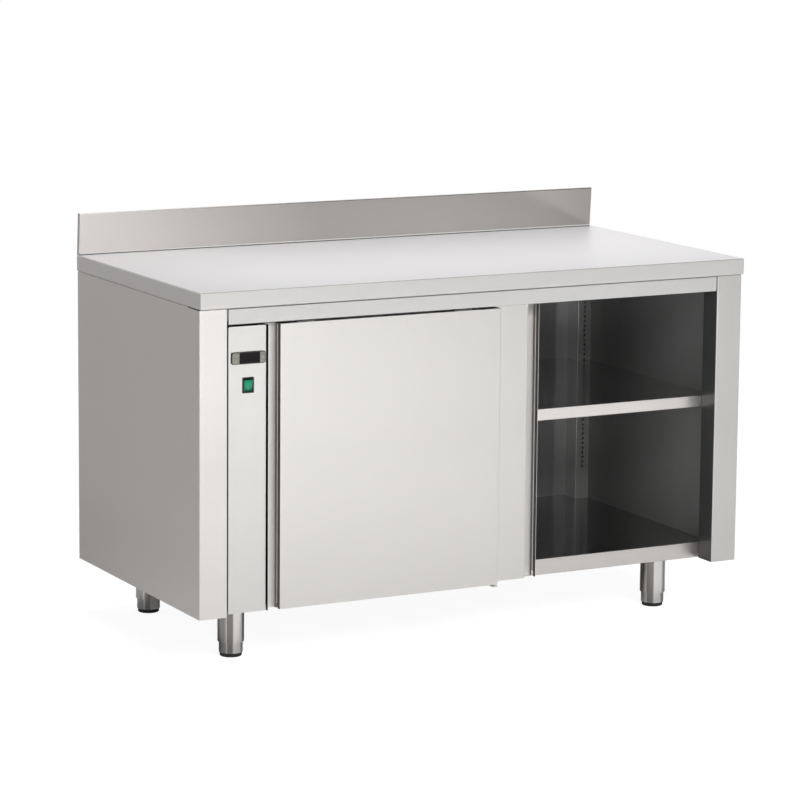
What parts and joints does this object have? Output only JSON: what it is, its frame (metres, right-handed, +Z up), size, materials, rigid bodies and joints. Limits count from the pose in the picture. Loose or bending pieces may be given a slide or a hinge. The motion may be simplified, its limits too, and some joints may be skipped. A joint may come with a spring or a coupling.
{
  "type": "plate warmer cabinet",
  "caption": "Free-standing steel plate warmer cabinet with sliding doors, a shelf, a control column, a worktop with an upstand, and adjustable feet.",
  "frame": {"origin": "on the floor, under the middle of the worktop", "axes": "+X to the right along the front, +Y to the back, +Z up"},
  "size_m": [1.4, 0.7, 0.948],
  "materials": {
    "steel_sheet": "satin",
    "door_steel": "satin",
    "bracket_steel": "satin",
    "foot_steel": "satin",
    "screw_steel": "satin",
    "element_steel": "satin",
    "fan_casing": "matte",
    "core_board": "matte",
    "insulation": "matte",
    "black_plastic": "matte",
    "controller_plastic": "satin",
    "display_window": "gloss",
    "key_plastic": "satin",
    "switch_plastic": "satin",
    "green_rocker": "gloss",
    "fan_plastic": "matte",
    "terminal_plastic": "matte",
    "cable_sheath": "matte",
    "pad_rubber": "matte",
    "roller_nylon": "satin"
  },
  "bodies": {
    "cabinet": {"worktop_sheet": "steel_sheet", "splashback": "steel_sheet", "left_side_panel": "steel_sheet", "right_side_panel": "steel_sheet", "right_lining": "steel_sheet", "rear_lining": "steel_sheet", "top_tray": "steel_sheet", "rear_panel": "steel_sheet", "floor_pan": "steel_sheet", "underside_panel": "steel_sheet", "top_rail": "steel_sheet", "door_track": "steel_sheet", "bottom_guide": "steel_sheet", "control_panel": "steel_sheet", "partition": "steel_sheet", "shelf_clips": "steel_sheet", "left_upright": "steel_sheet", "right_upright": "steel_sheet", "air_duct": "steel_sheet", "leg_plates": "steel_sheet", "leg_tubes": "steel_sheet", "worktop_core": "core_board", "insulation_boards": "insulation", "controller_housing": "black_plastic", "controller_bezel": "controller_plastic", "controller_window": "display_window", "switch_housing": "switch_plastic", "fan_motor": "fan_casing", "heating_element": "element_steel", "temperature_probe": "element_steel", "terminal_block": "terminal_plastic", "wiring_harness": "cable_sheath", "cable_gland": "black_plastic", "fixing_screws": "screw_steel"},
    "front_door": {"front_door_skin": "door_steel", "front_door_liner": "door_steel", "front_door_insulation": "insulation", "front_door_hangers": "bracket_steel"},
    "front_door_roller_left": {"front_door_roller_left": "roller_nylon"},
    "front_door_roller_right": {"front_door_roller_right": "roller_nylon"},
    "rear_door": {"rear_door_skin": "door_steel", "rear_door_liner": "door_steel", "rear_door_insulation": "insulation", "rear_door_hangers": "bracket_steel"},
    "rear_door_roller_left": {"rear_door_roller_left": "roller_nylon"},
    "rear_door_roller_right": {"rear_door_roller_right": "roller_nylon"},
    "key_up": {"key_up": "key_plastic"},
    "key_down": {"key_down": "key_plastic"},
    "key_set": {"key_set": "key_plastic"},
    "switch_rocker": {"switch_rocker": "green_rocker"},
    "fan_rotor": {"fan_rotor": "fan_plastic"},
    "shelf": {"shelf": "steel_sheet"},
    "front_left_foot": {"front_left_foot_sleeve": "foot_steel", "front_left_foot_pad": "pad_rubber"},
    "front_right_foot": {"front_right_foot_sleeve": "foot_steel", "front_right_foot_pad": "pad_rubber"},
    "rear_left_foot": {"rear_left_foot_sleeve": "foot_steel", "rear_left_foot_pad": "pad_rubber"},
    "rear_right_foot": {"rear_right_foot_sleeve": "foot_steel", "rear_right_foot_pad": "pad_rubber"}
  },
  "joints": [
    {"name": "front_door_slide", "type": "slide", "parent": "cabinet", "child": "front_door", "axis": [1, 0, 0], "range_m": [0, 0.579]},
    {"name": "rear_door_slide", "type": "slide", "parent": "cabinet", "child": "rear_door", "axis": [1, 0, 0], "range_m": [-0.117, 0.462]},
    {"name": "front_door_roller_left_turn", "type": "hinge", "parent": "front_door", "child": "front_door_roller_left", "pos_m": [-0.438, -0.3275, 0.7938], "axis": [0, 1, 0], "range_deg": [-10, 3700]},
    {"name": "front_door_roller_right_turn", "type": "hinge", "parent": "front_door", "child": "front_door_roller_right", "pos_m": [-0.044, -0.3275, 0.7938], "axis": [0, 1, 0], "range_deg": [-10, 3700]},
    {"name": "rear_door_roller_left_turn", "type": "hinge", "parent": "rear_door", "child": "rear_door_roller_left", "pos_m": [-0.321, -0.2975, 0.7938], "axis": [0, 1, 0], "range_deg": [-760, 2960]},
    {"name": "rear_door_roller_right_turn", "type": "hinge", "parent": "rear_door", "child": "rear_door_roller_right", "pos_m": [0.073, -0.2975, 0.7938], "axis": [0, 1, 0], "range_deg": [-760, 2960]},
    {"name": "rocker_tilt", "type": "hinge", "parent": "cabinet", "child": "switch_rocker", "pos_m": [-0.581, -0.334, 0.6395], "axis": [1, 0, 0], "range_deg": [-18, 0]},
    {"name": "key_up_press", "type": "slide", "parent": "cabinet", "child": "key_up", "axis": [0, 1, 0], "range_m": [0, 0.0006], "stiffness_N_per_m": 800},
    {"name": "key_down_press", "type": "slide", "parent": "cabinet", "child": "key_down", "axis": [0, 1, 0], "range_m": [0, 0.0006], "stiffness_N_per_m": 800},
    {"name": "key_set_press", "type": "slide", "parent": "cabinet", "child": "key_set", "axis": [0, 1, 0], "range_m": [0, 0.0006], "stiffness_N_per_m": 800},
    {"name": "fan_spin", "type": "hinge", "parent": "cabinet", "child": "fan_rotor", "pos_m": [-0.61, 0.06, 0.33], "axis": [1, 0, 0], "continuous": true},
    {"name": "shelf_lift", "type": "slide", "parent": "cabinet", "child": "shelf", "axis": [0, 0, 1], "range_m": [0, 0.05]},
    {"name": "front_left_foot_adjust", "type": "slide", "parent": "cabinet", "child": "front_left_foot", "axis": [0, 0, -1], "range_m": [-0.01, 0.03]},
    {"name": "front_right_foot_adjust", "type": "slide", "parent": "cabinet", "child": "front_right_foot", "axis": [0, 0, -1], "range_m": [-0.01, 0.03]},
    {"name": "rear_left_foot_adjust", "type": "slide", "parent": "cabinet", "child": "rear_left_foot", "axis": [0, 0, -1], "range_m": [-0.01, 0.03]},
    {"name": "rear_right_foot_adjust", "type": "slide", "parent": "cabinet", "child": "rear_right_foot", "axis": [0, 0, -1], "range_m": [-0.01, 0.03]}
  ],
  "couplings": [
    {"joint": "front_door_roller_left_turn", "follows": "front_door_slide", "rad_per_m": 111.11},
    {"joint": "front_door_roller_right_turn", "follows": "front_door_slide", "rad_per_m": 111.11},
    {"joint": "rear_door_roller_left_turn", "follows": "rear_door_slide", "rad_per_m": 111.11},
    {"joint": "rear_door_roller_right_turn", "follows": "rear_door_slide", "rad_per_m": 111.11}
  ]
}
